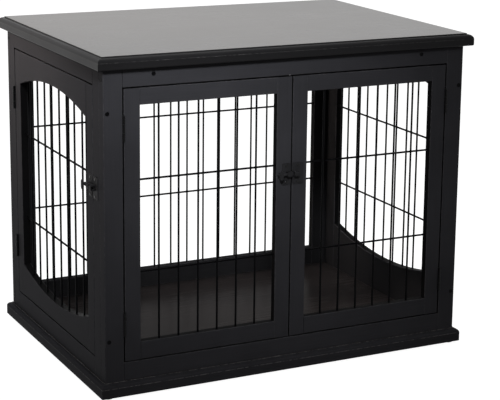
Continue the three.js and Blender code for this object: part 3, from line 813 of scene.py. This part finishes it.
# The top's moulded edge is painted much darker than its top face and the frame: painted shade. Its
# lighter lip and mould line are a painted highlight.
TOP_EDGE_PAINT = finish_from(
    "table_edge_paint", PAINT_FILM,
    {"Colour": (0.0065, 0.0062, 0.0066, 1), "Wear And Highlight Colour": (0.045, 0.043, 0.042, 1),
     "Stretch": GRAIN_RUNS[0], "Roughness": 0.34, "Cloudiness": 0.04, "Grain Depth": 0.15},
    {"Specular IOR Level": 0.06})
TOP_PAINT = finish_from(
    "table_top_paint", PAINT_FILM,
    {"Colour": TOP_BROWN, "Wear And Highlight Colour": TOP_BROWN,
     "Stretch": GRAIN_RUNS[0], "Roughness": 0.29, "Cloudiness": 0.012, "Grain Depth": 0.12},
    {"Specular IOR Level": 0.415, "Specular Tint": (1.0, 0.965, 0.95, 1)})
# The base's much lighter colour on its lip and mould line is a painted highlight.
BASE_PAINT = finish_from(
    "base_edge_paint", PAINT_FILM,
    {"Colour": (0.0215, 0.0209, 0.0230, 1), "Wear And Highlight Colour": (0.14, 0.134, 0.13, 1),
     "Stretch": GRAIN_RUNS[0], "Roughness": 0.38, "Cloudiness": 0.05, "Grain Depth": 0.3},
    {"Specular IOR Level": 0.003})
FLOOR_PAINT = finish_from(
    "crate_floor_paint", PAINT_FILM,
    {"Colour": FLOOR_BROWN, "Wear And Highlight Colour": FLOOR_BROWN,
     "Stretch": GRAIN_RUNS[0], "Roughness": 0.26, "Cloudiness": 0.02, "Grain Depth": 0.06},
    {"Specular IOR Level": 0.008, "Specular Tint": (1.0, 0.88, 0.85, 1)})
WIRE = finish_from(
    "wire_coat", METAL_COAT,
    {"Colour": (0.0015, 0.0015, 0.0018, 1), "Roughness": 0.42, "Pebble": 0.35},
    {"Specular IOR Level": 0.02})
HINGE_COAT = finish_from(
    "hinge_coat", METAL_COAT,
    {"Colour": (0.0035, 0.0034, 0.0036, 1), "Roughness": 0.32, "Pebble": 0.25},
    {"Specular IOR Level": 0.06})
LATCH_COAT = finish_from(
    "latch_coat", METAL_COAT,
    {"Colour": (0.0165, 0.0160, 0.0170, 1), "Roughness": 0.30, "Pebble": 0.25},
    {"Specular IOR Level": 0.012})
SCREW_COAT = finish_from(
    "screw_coat", METAL_COAT,
    {"Colour": (0.0060, 0.0058, 0.0060, 1), "Roughness": 0.3, "Pebble": 0.2},
    {"Specular IOR Level": 0.12})
CAP_COAT = finish_from(
    "cap_plastic", METAL_COAT,
    {"Colour": (0.001, 0.001, 0.0012, 1), "Roughness": 0.45, "Pebble": 0.4},
    {"Specular IOR Level": 0.03})
GLIDE = finish_from(
    "glide_plastic", METAL_COAT,
    {"Colour": (0.010, 0.010, 0.010, 1), "Roughness": 0.6, "Pebble": 0.6},
    {"Specular IOR Level": 0.3})


# ---------------------------------------------------------------- stage

CAMERA_PLACE = Vector((-1.4507, -3.0275, 1.1512))
CAMERA_TARGET = Vector((0.2036, 0.0708, 0.3612))
CAMERA_ROLL = math.radians(1.02)
CAMERA_LENS = 117.65
CAMERA_SHIFT = -0.1
CAMERA_REACH = 50
SENSOR_WIDTH = 36

FLOOR_RADIUS = 9
FLOOR_SEGMENTS = 96
FLOOR_GREY = (0.25, 0.25, 0.25, 1)
FLOOR_ROUGHNESS = 0.9
FLOOR_GLOW = 0.95
WORLD_LIGHT = 0.45
WHITE = (1, 1, 1, 1)

LAMPS = {
    "key": {
        "place": Vector((-0.9, -1.9, 1.75)), "target": Vector((-0.22, -0.28, 0.70)), "size": 0.35,
        "power": 2.4, "colour": (0.92, 0.96, 1.0), "spread": math.radians(31),
    },
    "side": {
        "place": Vector((-2.0, 0.75, 1.6)), "target": Vector((-0.39, 0.22, 0.80)), "size": 0.35,
        "power": 2.5, "colour": (1.0, 0.90, 0.82), "spread": math.radians(27),
    },
    "overhead": {
        "place": Vector((0.2, 0.6, 3.0)), "target": Vector((0, 0, 0.5)), "size": 2.4,
        "power": 25, "colour": (1.0, 1.0, 1.0), "spread": math.radians(180),
    },
}


def aimed(place, target):
    """The transform of a camera or lamp that looks from a place to a target."""
    turn = (target - place).to_track_quat("-Z", "Y").to_matrix().to_4x4()
    return Matrix.Translation(place) @ turn


def camera():
    """The photograph's view."""
    data = bpy.data.cameras.new("camera")
    data.lens = CAMERA_LENS
    data.sensor_width = SENSOR_WIDTH
    data.shift_x = CAMERA_SHIFT
    data.shift_y = CAMERA_SHIFT
    data.clip_end = CAMERA_REACH
    eye = bpy.data.objects.new("camera", data)
    eye.matrix_world = aimed(CAMERA_PLACE, CAMERA_TARGET) @ Matrix.Rotation(CAMERA_ROLL, 4, "Z")
    bpy.context.scene.collection.objects.link(eye)
    bpy.context.scene.camera = eye


def sees_white(tree):
    """1 for rays that should meet a white background, which are those seen, reflected or let through."""
    path = tree.nodes.new("ShaderNodeLightPath")
    seen = math_node(tree, "MAXIMUM", path.outputs["Is Camera Ray"], path.outputs["Is Glossy Ray"])
    return math_node(tree, "MAXIMUM", seen, path.outputs["Is Transmission Ray"])


def floor():
    """A grey floor that takes the crate's shadow and glows white where it is seen."""
    bm = bmesh.new()
    bmesh.ops.create_circle(bm, cap_ends=True, segments=FLOOR_SEGMENTS, radius=FLOOR_RADIUS)
    mesh = bpy.data.meshes.new("floor")
    bm.to_mesh(mesh)
    bm.free()
    ground = bpy.data.objects.new("floor", mesh)
    bpy.context.scene.collection.objects.link(ground)
    material = bpy.data.materials.new("floor_white")
    material.use_nodes = True
    tree = material.node_tree
    shader = tree.nodes["Principled BSDF"]
    shader.inputs["Base Color"].default_value = FLOOR_GREY
    shader.inputs["Roughness"].default_value = FLOOR_ROUGHNESS
    shader.inputs["Specular IOR Level"].default_value = 0
    shader.inputs["Emission Color"].default_value = WHITE
    glow = math_node(tree, "MULTIPLY", sees_white(tree), FLOOR_GLOW)
    tree.links.new(glow, shader.inputs["Emission Strength"])
    mesh.materials.append(material)


def background():
    """A world that is white where it is seen, and lights the crate more weakly."""
    world = bpy.data.worlds.new("studio")
    world.use_nodes = True
    bpy.context.scene.world = world
    tree = world.node_tree
    shader = tree.nodes["Background"]
    shader.inputs["Color"].default_value = WHITE
    seen = math_node(tree, "MULTIPLY", sees_white(tree), 1 - WORLD_LIGHT)
    tree.links.new(math_node(tree, "ADD", WORLD_LIGHT, seen), shader.inputs["Strength"])


def softbox(name, place, target, size, power, colour, spread):
    """A square lamp with a grid that narrows its beam to the spread."""
    data = bpy.data.lights.new(name, "AREA")
    data.shape = "SQUARE"
    data.size = size
    data.energy = power
    data.color = colour
    data.spread = spread
    lamp = bpy.data.objects.new(name, data)
    lamp.matrix_world = aimed(place, target)
    bpy.context.scene.collection.objects.link(lamp)


def lights():
    """All the lamps."""
    for name, settings in LAMPS.items():
        softbox(name, **settings)


# ---------------------------------------------------------------- the scene

camera()
wooden_members()
boards()
grilles()
metalwork()
glides()
plate_screws()
leaf_screws()
caps()
floor()
background()
lights()

view_settings = bpy.context.scene.view_settings
view_settings.view_transform = "Standard"
